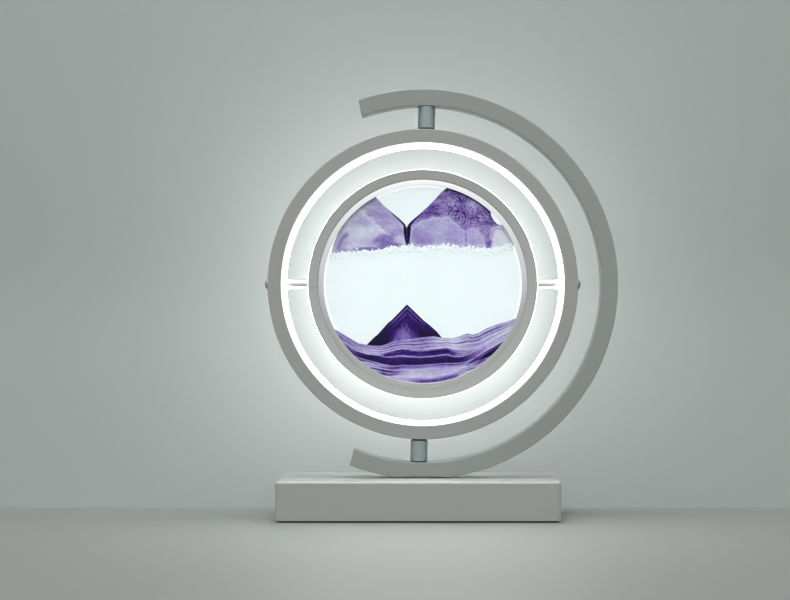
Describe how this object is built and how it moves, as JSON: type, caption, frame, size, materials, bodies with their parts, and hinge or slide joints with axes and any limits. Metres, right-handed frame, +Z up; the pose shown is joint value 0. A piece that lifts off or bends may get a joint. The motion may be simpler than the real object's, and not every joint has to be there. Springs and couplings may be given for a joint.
{
  "type": "moving sand lamp",
  "caption": "Desk lamp with a round moving-sand cell that turns on an axle in a lit ring, itself turning on posts in a C-shaped arm on a low rectangular base.",
  "frame": {"origin": "middle of the base's underside, on the non-slip pad", "axes": "+Z up, front of the lamp towards -Y, +X to the right as seen from the front"},
  "size_m": [0.2266, 0.0716, 0.2742],
  "materials": {
    "grey_paint": "satin",
    "grey_paint_on_alloy": "satin",
    "satin_steel": "satin",
    "polished_steel": "polished",
    "zinc_steel": "satin",
    "plain_steel": "matte",
    "black_rubber": "matte",
    "black_nylon": "matte",
    "white_plastic": "gloss",
    "black_plastic": "matte",
    "board_green": "satin",
    "strip_white": "satin",
    "diffuser_white": "satin",
    "clear_glass": "gloss",
    "clear_liquid": "gloss",
    "bubble_white": "satin",
    "lavender_sand": "matte",
    "violet_sand": "matte",
    "dark_sand": "matte"
  },
  "bodies": {
    "base": {"base_shell": "grey_paint", "arc_arm": "grey_paint_on_alloy", "upper_post": "satin_steel", "lower_post": "satin_steel", "cover_screw_1": "zinc_steel", "cover_screw_2": "zinc_steel", "cover_screw_3": "zinc_steel", "cover_screw_4": "zinc_steel", "arm_screw_left": "zinc_steel", "arm_screw_right": "zinc_steel", "threaded_tube": "zinc_steel", "tube_washer": "zinc_steel", "tube_nut": "zinc_steel", "pivot_nut": "zinc_steel", "upper_pivot_screw": "zinc_steel", "upper_post_screw": "zinc_steel", "power_inlet": "zinc_steel", "base_plate": "plain_steel", "ballast_block": "plain_steel", "base_pad": "black_rubber", "foot_washer": "black_nylon", "lower_thrust_washer": "black_nylon", "upper_thrust_washer": "black_nylon", "power_lead": "white_plastic", "switch_body": "black_plastic", "control_board": "board_green"},
    "lamp_ring": {"lamp_ring": "grey_paint_on_alloy", "diffuser": "diffuser_white", "led_strip_1": "strip_white", "led_strip_2": "strip_white", "led_strip_3": "strip_white", "led_strip_4": "strip_white", "axle_rod_left": "polished_steel", "axle_rod_right": "polished_steel", "axle_screw_left": "polished_steel", "axle_screw_right": "polished_steel"},
    "sand_cell": {"cell_frame": "grey_paint_on_alloy", "axle_bush_left": "white_plastic", "axle_bush_right": "white_plastic", "front_rim": "white_plastic", "rear_rim": "white_plastic", "front_glass": "clear_glass", "rear_glass": "clear_glass", "cell_spacer": "white_plastic", "fill_plug": "white_plastic", "sand_upper_left": "lavender_sand", "sand_upper_right": "violet_sand", "sand_peak": "dark_sand", "sand_bed": "violet_sand", "bubble_line": "bubble_white", "liquid_above": "clear_liquid", "liquid_below": "clear_liquid"},
    "button": {"power_button": "white_plastic"}
  },
  "joints": [
    {"name": "ring_turn", "type": "hinge", "parent": "base", "child": "lamp_ring", "pos_m": [0.00282, 0, 0.14925], "axis": [0.0227, 0, 0.9997], "range_deg": [-180, 180]},
    {"name": "cell_turn", "type": "hinge", "parent": "lamp_ring", "child": "sand_cell", "pos_m": [0.00282, 0, 0.14925], "axis": [1, 0, 0], "continuous": true},
    {"name": "button_press", "type": "slide", "parent": "base", "child": "button", "axis": [0, -1, 0], "range_m": [0, 0.0015], "stiffness_N_per_m": 400, "springref_m": -0.0005}
  ]
}
